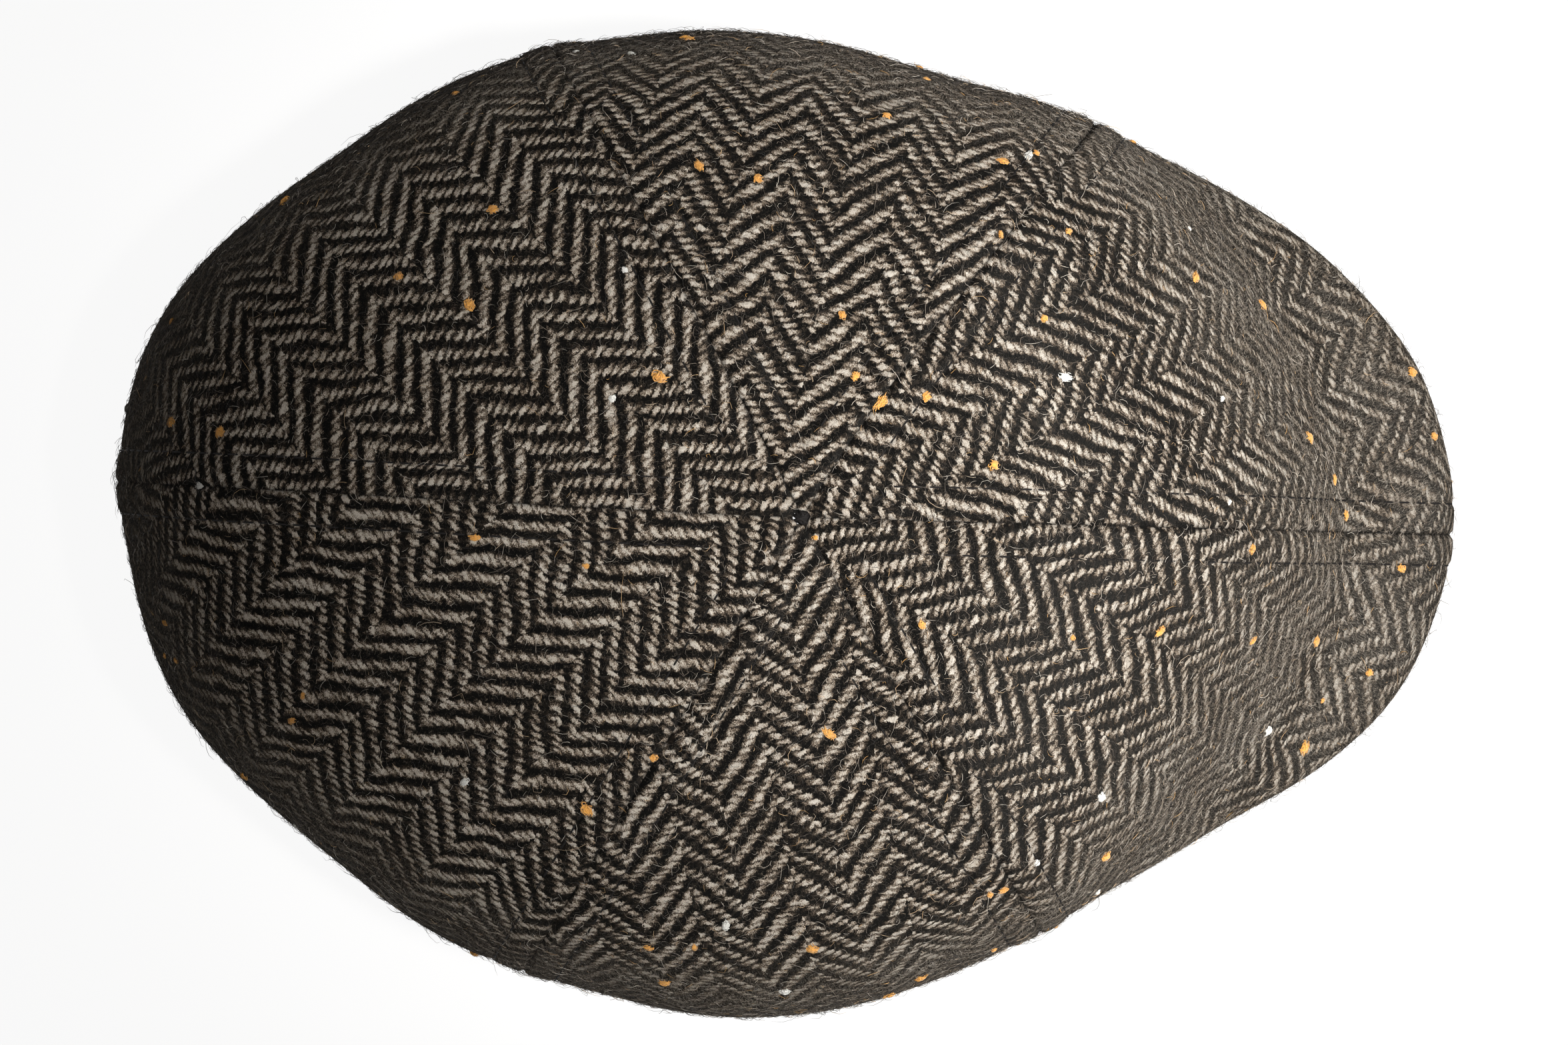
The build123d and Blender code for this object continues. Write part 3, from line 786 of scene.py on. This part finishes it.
class Field:
    """A number that varies over a surface, made of shader math nodes."""

    def __init__(self, finish, source):
        self.finish = finish
        self.source = source

    def math(self, operation, *others):
        node = self.finish.add("Math")
        node.operation = operation
        for socket, value in zip(node.inputs, (self, *others)):
            self.finish.feed(socket, value)
        return Field(self.finish, node.outputs[0])

    def __add__(self, other):
        return self.math("ADD", other)

    def __sub__(self, other):
        return self.math("SUBTRACT", other)

    def __mul__(self, other):
        return self.math("MULTIPLY", other)

    def __truediv__(self, other):
        return self.math("DIVIDE", other)

    def floor(self):
        return self.math("FLOOR")

    def wrap(self, size):
        """The remainder of this number over size, never negative."""
        return self.math("FLOORED_MODULO", size)

    def between(self, low, high):
        """0 at low and 1 at high, clamped, with a smooth rise."""
        node = self.finish.add("MapRange", Value=self, From_Min=low, From_Max=high)
        node.interpolation_type = "SMOOTHSTEP"
        return Field(self.finish, node.outputs["Result"])


class Finish:
    """A material under construction, with helpers for its nodes."""

    def __init__(self, name, roughness, specular, sheen=0.0, sheen_roughness=0.5, sheen_tint=(1, 1, 1)):
        self.material = bpy.data.materials.new(name)
        self.material.use_nodes = True
        self.tree = self.material.node_tree
        self.shader = self.tree.nodes["Principled BSDF"]
        self.fill(self.shader, Roughness=roughness, Specular_IOR_Level=specular, Sheen_Weight=sheen,
                  Sheen_Roughness=sheen_roughness, Sheen_Tint=sheen_tint)

    def feed(self, socket, value):
        """Link a field or node output to a socket, or set a plain number, vector or colour."""
        if isinstance(value, Field):
            value = value.source
        if isinstance(value, bpy.types.NodeSocket):
            self.tree.links.new(value, socket)
        else:
            socket.default_value = (*value, 1) if socket.type == "RGBA" else value

    def fill(self, node, **inputs):
        """Feed inputs of a node by name, with an underscore for each space."""
        for name, value in inputs.items():
            self.feed(node.inputs[name.replace("_", " ")], value)
        return node

    def add(self, kind, **inputs):
        """A new node with these inputs."""
        return self.fill(self.tree.nodes.new("ShaderNode" + kind), **inputs)

    def cloth_axes(self):
        """Cloth coordinates in millimetres, along the warp and across it, and their vector."""
        node = self.add("UVMap")
        node.uv_map = "cloth"
        parts = self.add("SeparateXYZ", Vector=node.outputs["UV"])
        return Field(self, parts.outputs["X"]), Field(self, parts.outputs["Y"]), node.outputs["UV"]

    def attribute(self, name):
        node = self.add("Attribute")
        node.attribute_name = name
        return Field(self, node.outputs["Fac"])

    def position(self):
        """Place on the object in metres."""
        return self.add("TexCoord").outputs["Object"]

    def vector(self, x, y, z):
        return self.add("CombineXYZ", X=x, Y=y, Z=z).outputs[0]

    def moved(self, vector, distance):
        """The same vectors further on, so that a field read there doesn't match another."""
        place = (distance, distance * 0.7, distance * 0.3)
        return self.add("Mapping", Vector=vector, Location=place).outputs[0]

    def scaled(self, vector, scale):
        return self.add("Mapping", Vector=vector, Scale=scale).outputs[0]

    def noise(self, vector, scale, detail=2.0, roughness=0.5, distortion=0.0):
        """Noise from 0 to 1, 0.5 on average."""
        node = self.add("TexNoise", Vector=vector, Scale=scale, Detail=detail, Roughness=roughness,
                        Distortion=distortion)
        return Field(self, node.outputs["Fac"])

    def ramp(self, field, *stops):
        """Colours along a field, as (place, (r, g, b)) stops."""
        node = self.add("ValToRGB", Fac=field)
        elements = node.color_ramp.elements
        while len(elements) > 1:
            elements.remove(elements[-1])
        elements[0].position = stops[0][0]
        elements[0].color = (*stops[0][1], 1)
        for place, colour in stops[1:]:
            elements.new(place).color = (*colour, 1)
        return node.outputs["Color"]

    def blend(self, share, first, second, mode="MIX"):
        """Mix two colours (sockets or plain colours) by a field."""
        node = self.add("Mix")
        node.data_type = "RGBA"
        node.blend_type = mode
        for key, value in (("Factor", share), (6, first), (7, second)):
            self.feed(node.inputs[key], value)
        return node.outputs[2]

    def cells(self, vector, scale):
        """Pebbles: 0 in the creases between cells and 1 on top of each."""
        node = self.add("TexVoronoi", Vector=vector, Scale=scale)
        node.feature = "DISTANCE_TO_EDGE"
        return Field(self, node.outputs["Distance"]).between(0.0, 0.32)

    def rough(self, field, low, high):
        """Roughness that varies from low to high over a field from 0 to 1."""
        node = self.add("MapRange", Value=field, From_Min=0.3, From_Max=0.7, To_Min=low, To_Max=high)
        self.fill(self.shader, Roughness=node.outputs["Result"])

    def made(self, colour, relief, distance, strength=1.0):
        """The material in this colour, with bumps this many metres high from a field from 0 to 1."""
        bump = self.add("Bump", Height=relief, Distance=distance, Strength=strength)
        self.fill(self.shader, Base_Color=colour, Normal=bump.outputs["Normal"])
        return self.material


def herringbone_tweed():
    """Coarse hairy 2/2 herringbone: taupe weft floats over near-black warp."""
    finish = Finish("herringbone_tweed", 0.9, 0.03, 0.03, 0.4, (0.85, 0.82, 0.78))
    along, across, cloth = finish.cloth_axes()

    def wild(distance, scale, detail=2, roughness=0.5, distortion=0.0):
        """Noise round 0 that is read somewhere else on the cloth."""
        return finish.noise(finish.moved(cloth, distance), scale, detail, roughness, distortion) - 0.5

    # Yarn coordinates, a little unsteady, and the float of each yarn: two over, two under.
    a = along / YARN + wild(0.0, 0.10, 1) * 2.6 + wild(120.0, 0.62) * 1.1 + wild(15.0, 2.1, 2, 0.6) * 0.85
    b = across / YARN + wild(40.0, 0.10, 1) * 2.2 + wild(80.0, 0.62) * 1.1 + wild(25.0, 2.1, 2, 0.6) * 0.85
    row, column = a.floor(), b.floor()
    stripe = (column / COLUMN_YARNS).floor().wrap(2.0)
    side = stripe * 2.0 - 1.0
    in_row = a.wrap(1.0) - 0.5
    place = (row + side * b + (stripe * -1.0 + 1.0) + 1.0).wrap(4.0) - 2.0
    slanted = place + in_row * side * 0.75
    reach_b, reach_a = slanted / 1.20, in_row / 0.52
    own = reach_b * reach_b + reach_a * reach_a
    line = ((a + side * b + 0.5).wrap(4.0) - 2.0) / 1.12
    core = line * line

    # Hair and grit that break the floats' edges and give their tones, and a painted highlight on each float's
    # middle.
    tuft = finish.noise(finish.vector(a * 1.5, b * 1.0, side * 3.0), 1.25, 4, 0.72, 0.5) - 0.5
    strand = finish.noise(finish.vector(a * 3.4, b * 1.15, side * 7.0), 1.1, 3, 0.7, 0.9) - 0.5
    grit = wild(7.0, 4.2, 3, 0.8, 0.8)
    over = (own * 0.58 + core * 0.36 + tuft * 1.8 + strand * 1.5 + grit * 2.2).between(1.50, 1.00)
    # crown: 1 on the middle of each float, 0 at its edges; it raises the relief and paints a highlight on each
    # float's middle.
    crown = (own * -1.0 + 1.0).math("MAXIMUM", 0.0)
    float_tone = finish.noise(finish.vector(row * 1.31, (b - side * row) * 0.11, stripe * 4.3), 1.0, 1) - 0.5
    yarn_tone = finish.noise(finish.vector(row * 0.83, across * 0.012, 0.0), 1.0, 1) - 0.5
    tone = float_tone * 1.8 + yarn_tone * 0.4 + strand * 2.5 + tuft * 1.0 + grit * 3.4
    # The light yarn's tones, lighter on each float's middle by a painted highlight from crown.
    light = finish.ramp(
        tone + crown * 0.95 + 0.02,
        (0.02, (0.016, 0.012, 0.009)),
        (0.22, (0.120, 0.091, 0.067)),
        (0.48, (0.330, 0.264, 0.204)),
        (0.76, (0.600, 0.520, 0.430)),
        (1.00, (0.900, 0.850, 0.780)),
    )
    dark = finish.ramp(
        strand * 1.2 + grit * 1.6 + 0.48,
        (0.40, (0.0006, 0.0008, 0.0008)),
        (0.68, (0.0020, 0.0022, 0.0020)),
        (0.84, (0.026, 0.021, 0.016)),
        (0.98, (0.150, 0.118, 0.090)),
    )
    colour = finish.blend(over, dark, light)

    # Lint, curled hairs, the matted nap of steep and rubbed places with a painted sheen on its fuzz, wear, and
    # painted shade in the seams' creases and along the topstitching.
    lint = wild(31.0, 1.9, 5, 0.8, 2.6) + 0.5
    colour = finish.blend(lint.between(0.62, 0.80) * 0.45, colour, (0.15, 0.118, 0.090))
    curl = wild(51.0, 1.1, 1, 0.5, 1.6).math("ABSOLUTE").between(0.022, 0.0)
    tangle = wild(67.0, 0.9, 2, 0.6, 0.8).between(-0.03, 0.10)
    colour = finish.blend(curl * tangle * 0.50, colour, (0.34, 0.280, 0.220))
    # Fuzz colours of the matted nap, lightened as a painted sheen.
    matted = finish.ramp(
        finish.noise(finish.scaled(cloth, (0.4, 1.0, 1.0)), 2.4, 3, 0.8, 1.2),
        (0.38, (0.004, 0.004, 0.003)),
        (0.47, (0.050, 0.043, 0.036)),
        (0.54, (0.270, 0.235, 0.198)),
        (0.64, (0.800, 0.740, 0.650)),
    )
    # Painted sheen with matted nap: on steep slopes and round the front the weave turns to a hazier, lighter
    # fuzz.
    colour = finish.blend(finish.attribute("nap_and_sheen") * (wild(97.0, 0.16) * 1.4 + 0.58), colour, matted)
    worn = finish.noise(finish.moved(cloth, 3.0), 0.055)
    worn = finish.ramp(worn, (0.3, (0.84, 0.81, 0.78)), (0.7, (1.0, 1.0, 1.0)))
    colour = finish.blend(1.0, colour, worn, "MULTIPLY")
    # Painted shade: near-black in the seams' grooves, along the topstitching and at the band's back seam.
    colour = finish.blend(finish.attribute("painted_crease_shade") * 0.85, colour, (0.002, 0.002, 0.002))
    relief = over * 0.45 + crown * over * 0.65 + strand * 0.9 + tuft * 0.7 + grit * 0.8 + curl * tangle * 0.25
    return finish.made(colour, relief, 0.8 * MM)


def plain_thread(name, colour):
    """Sewing thread with its twist."""
    finish = Finish(name, 0.75, 0.15)
    twist = finish.noise(finish.position(), 2600.0)
    ply = finish.ramp(twist, (0.3, tuple(c * 0.6 for c in colour)), (0.7, colour))
    return finish.made(ply, twist, 0.08 * MM)


def wool_hair():
    """Loose fibres, from dark to nearly white, read from a tint on each."""
    finish = Finish("wool_hair", 0.6, 0.25, 0.1)
    colour = finish.ramp(
        finish.attribute("tint"),
        (0.00, (0.006, 0.005, 0.005)),
        (0.50, (0.045, 0.036, 0.028)),
        (0.78, (0.220, 0.180, 0.145)),
        (0.95, (0.560, 0.520, 0.460)),
        (1.00, (0.600, 0.340, 0.100)),
    )
    finish.fill(finish.shader, Base_Color=colour)
    return finish.material


def felted(name, dark, light):
    """Matted wool of a nep."""
    finish = Finish(name, 0.95, 0.1, 0.4)
    matted = finish.noise(finish.position(), 2300.0, 4, 0.7, 1.0)
    return finish.made(finish.ramp(matted, (0.30, dark), (0.68, light)), matted, 0.25 * MM)


def satin():
    """Smooth charcoal lining satin with a fine twill line and soft mottling."""
    finish = Finish("lining_satin", 0.36, 0.45, 0.25, 0.3, (0.8, 0.85, 1.0))
    along, across, cloth = finish.cloth_axes()
    twill = (along * 1.0 + across * 1.7).wrap(0.62) / 0.62
    thread = finish.noise(finish.scaled(cloth, (0.5, 9.0, 1.0)), 1.4, 3)
    tone = thread * 0.5 + finish.noise(cloth, 0.07) * 0.5
    colour = finish.ramp(tone, (0.25, (0.016, 0.017, 0.021)), (0.75, (0.034, 0.035, 0.041)))
    return finish.made(colour, twill * 0.5 + thread * 0.5, 0.05 * MM, 0.7)


def leather():
    """Dark brown sweatband leather with pebbled grain and pores."""
    finish = Finish("sweatband_leather", 0.52, 0.5)
    _, _, cloth = finish.cloth_axes()
    grain = finish.cells(cloth, 1.15)
    fine = finish.noise(cloth, 2.6, 4, 0.6)
    colour = finish.ramp(
        finish.noise(cloth, 0.05, 3) * 0.6 + fine * 0.25 + grain * 0.2,
        (0.25, (0.040, 0.020, 0.011)),
        (0.55, (0.085, 0.043, 0.023)),
        (0.85, (0.150, 0.082, 0.045)),
    )
    finish.rough(finish.noise(cloth, 0.4, 3), 0.42, 0.66)
    return finish.made(colour, grain * 0.7 + fine * 0.3, 0.12 * MM, 0.8)


def woven(name, dark, light, pitch):
    """Plain-woven cloth or tape of one colour."""
    finish = Finish(name, 0.85, 0.2, 0.15)
    place = finish.position()
    warp = finish.noise(finish.scaled(place, (3.0, 1.0, 1.0)), 1.0 / pitch, 3)
    weft = finish.noise(finish.scaled(place, (1.0, 3.0, 3.0)), 1.0 / pitch, 3)
    weave = warp * 0.5 + weft * 0.5
    return finish.made(finish.ramp(weave, (0.35, dark), (0.65, light)), weave, 0.15 * MM, 0.8)


def dark_metal():
    """Oxide-black brass of the press stud, rubbed brighter in patches."""
    finish = Finish("stud_metal", 0.38, 0.5)
    finish.fill(finish.shader, Metallic=1.0)
    rubbed = finish.noise(finish.position(), 900.0, 4, 0.65)
    colour = finish.ramp(rubbed, (0.40, (0.030, 0.029, 0.028)), (0.72, (0.13, 0.115, 0.095)))
    finish.rough(rubbed, 0.50, 0.26)
    return finish.made(colour, rubbed, 0.02 * MM, 0.4)


def board_plastic():
    """Grey sheet plastic of the visor's stiffener."""
    finish = Finish("visor_board_plastic", 0.5, 0.4)
    speck = finish.noise(finish.position(), 1400.0, 3)
    colour = finish.ramp(speck, (0.3, (0.10, 0.10, 0.11)), (0.7, (0.15, 0.15, 0.16)))
    return finish.made(colour, speck, 0.04 * MM, 0.5)


def pale_floor():
    """White studio sweep that glows a little, so that it stays white round the cap."""
    finish = Finish("pale_floor", 0.9, 0.1)
    grain = finish.noise(finish.position(), 30.0, 3)
    colour = finish.ramp(grain, (0.3, (0.10, 0.10, 0.10)), (0.7, (0.11, 0.11, 0.11)))
    finish.fill(finish.shader, Base_Color=colour, Emission_Color=(1, 1, 1), Emission_Strength=0.93)
    return finish.material


# ---------------------------------------------------------------- the cap

tweed = herringbone_tweed()
thread = plain_thread("dark_thread", (0.007, 0.006, 0.006))
hair = wool_hair()
ochre = felted("ochre_wool", (0.50, 0.20, 0.02), (0.88, 0.46, 0.09))
white = felted("white_wool", (0.58, 0.58, 0.56), (0.88, 0.88, 0.86))
lining = satin()
cotton = woven("seam_tape", (0.020, 0.019, 0.018), (0.045, 0.042, 0.038), 0.6 * MM)
label_cloth = woven("label_cloth", (0.52, 0.49, 0.42), (0.68, 0.65, 0.58), 0.35 * MM)
tan_thread = plain_thread("tan_thread", (0.32, 0.22, 0.12))
metal = dark_metal()


def place_on(piece, slot, material, *nodes, bends=False):
    """Give a piece its finish and put it on the crown, or across the visor's hinge, in place of any nodes."""
    piece.data.materials.append(material)
    if bends:
        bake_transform(piece)
    else:
        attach(piece, "crown")
    if nodes:
        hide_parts(*nodes)


panels = [crown_panel(index) for index in range(len(PANELS))]
for panel, (name, _) in zip(panels, PANELS):
    place_on(panel["piece"], "crown_tweed", tweed, "crown_panel_" + name)
for index, (name, *_) in enumerate(SEAMS):
    place_on(seam_tape(index, panels), "seam_tape", cotton, "seam_tape_" + name)
for index in range(len(SEAMS)):
    place_on(topstitching(index, panels), "thread", thread)
top = max(float(panel["outer"][0, :, 2].max()) for panel in panels)
place_on(crown_tack(top), "thread", thread, "crown_point_tack")

for index, (name, _) in enumerate(PANELS):
    fibres = pile("pile_" + name, [panels[index]], 9000, 60 + index, 1.9 * MM, 0.045 * MM)
    place_on(fibres, "crown_tweed", hair)
    place_on(lining_panel(index), "lining_satin", lining, "lining_panel_" + name)
place_on(pile("wool_fibres", panels, 2400, 22, 3.0 * MM, 0.040 * MM), "crown_tweed", hair)
place_on(neps("ochre_neps", panels, 78, 31, 0.95 * MM), "crown_tweed", ochre)
place_on(neps("white_neps", panels, 24, 32, 0.85 * MM), "crown_tweed", white)

band = ring_strip("band_cloth", BAND_INSIDE, BAND_OUTSIDE, BAND_TOP, 0.0, 0.25 * MM, 0.10)
place_on(band, "crown_tweed", tweed, "head_band")
place_on(ring_stitches("band_stitches", BAND_OUTSIDE, 3.0 * MM, 1), "thread", thread)
name = "sweatband_leather"
sweat = ring_strip(name, 0.0, SWEATBAND_THICKNESS, SWEATBAND_TOP, SWEATBAND_LIFT, 0.2 * MM, 0.08)
place_on(sweat, name, leather(), "sweatband")
place_on(ring_stitches("sweatband_stitches", 0.0, 2.6 * MM + SWEATBAND_LIFT, -1), "thread", tan_thread)
label, label_stitches = size_label()
place_on(label, "label_cloth", label_cloth, "size_label")
place_on(label_stitches, "thread", tan_thread)

cover, stiff, under_cover, cover_top, cover_below = visor_pieces()
place_on(cover, "crown_tweed", tweed, "visor_upper_cover", bends=True)
place_on(stiff, "visor_board_plastic", board_plastic(), "visor_board", bends=True)
place_on(under_cover, "crown_tweed", tweed, "visor_under_cover", bends=True)
place_on(visor_stitches("visor_stitches_upper", cover_top, 1), "thread", thread, bends=True)
place_on(visor_stitches("visor_stitches_under", cover_below, -1), "thread", thread, bends=True)

for node, material in (
    ("band_stiffener", woven("buckram", (0.33, 0.31, 0.27), (0.52, 0.50, 0.45), 0.7 * MM)),
    ("crown_stud_socket", metal),
    ("visor_stud_ball", metal),
):
    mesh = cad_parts[node].data
    mesh.materials.clear()
    mesh.materials.append(material)


# ---------------------------------------------------------------- studio

FLOOR = -9.5 * MM  # a little under the cap, so that the visor clears it when it bends down
ROOM_PROFILE = ((0.002, FLOOR), (1.2, FLOOR), (2.3, FLOOR), (2.75, 0.06), (3.0, 0.4), (3.05, 1.3), (2.6, 2.5),
                (1.4, 3.2), (0.002, 3.4))
ROOM_SIDES = 64


def white_room():
    """Floor that curves up into a dome, seen by the camera but throwing no light back."""
    turn = np.arange(ROOM_SIDES) * 2 * math.pi / ROOM_SIDES
    points = [(r * math.cos(t), r * math.sin(t), z) for r, z in ROOM_PROFILE for t in turn]
    room = add_mesh("floor", points, [grid_faces(len(ROOM_PROFILE), ROOM_SIDES, close=True)])
    room.data.materials.append(pale_floor())
    room.visible_diffuse = False
    room.visible_shadow = False


def aim(name, kind, place, target, power, colour):
    """A light that points at a target."""
    light = bpy.data.lights.new(name, kind)
    light.energy = power
    light.color = colour
    obj = bpy.data.objects.new(name, light)
    obj.location = place
    obj.rotation_euler = (Vector(target) - Vector(place)).to_track_quat("-Z", "Y").to_euler()
    bpy.context.scene.collection.objects.link(obj)
    return light


white_room()
key = aim("key", "SPOT", (0.32, -0.08, 0.98), (0.101, 0.001, 0.08), 107.0, (1.0, 0.970, 0.92))
key.spot_size = 2 * math.atan(0.202)
key.spot_blend = 1.0
key.shadow_soft_size = 0.07
top = aim("top", "AREA", (0.30, 0.10, 1.20), (0.02, 0, 0.05), 0.82, (1.0, 0.94, 0.86))
top.shape = "DISK"
top.size = 0.7
below = aim("below", "AREA", (0.05, 0, -0.30), (0.05, 0, 0), 0.8, (1.0, 0.95, 0.88))
below.shape = "DISK"
below.size = 1.4
world = bpy.data.worlds.new("studio")
world.use_nodes = True
world.node_tree.nodes["Background"].inputs["Color"].default_value = (1.0, 0.86, 0.70, 1)
world.node_tree.nodes["Background"].inputs["Strength"].default_value = 0.030
bpy.context.scene.world = world
bpy.context.scene.view_settings.view_transform = "Standard"

CAMERA_HEIGHT = 0.95
OUTLINE_HEIGHT = 35.0 * MM
FRAME_WIDTH = 334.0 * MM  # what the camera sees across, at the outline's height
camera_data = bpy.data.cameras.new("camera")
camera_data.sensor_width = 36.0
camera_data.lens = 36.0 * (CAMERA_HEIGHT - OUTLINE_HEIGHT) / FRAME_WIDTH
camera = bpy.data.objects.new("camera", camera_data)
camera.location = (15.2 * MM, -1.0 * MM, CAMERA_HEIGHT)
bpy.context.scene.collection.objects.link(camera)
bpy.context.scene.camera = camera
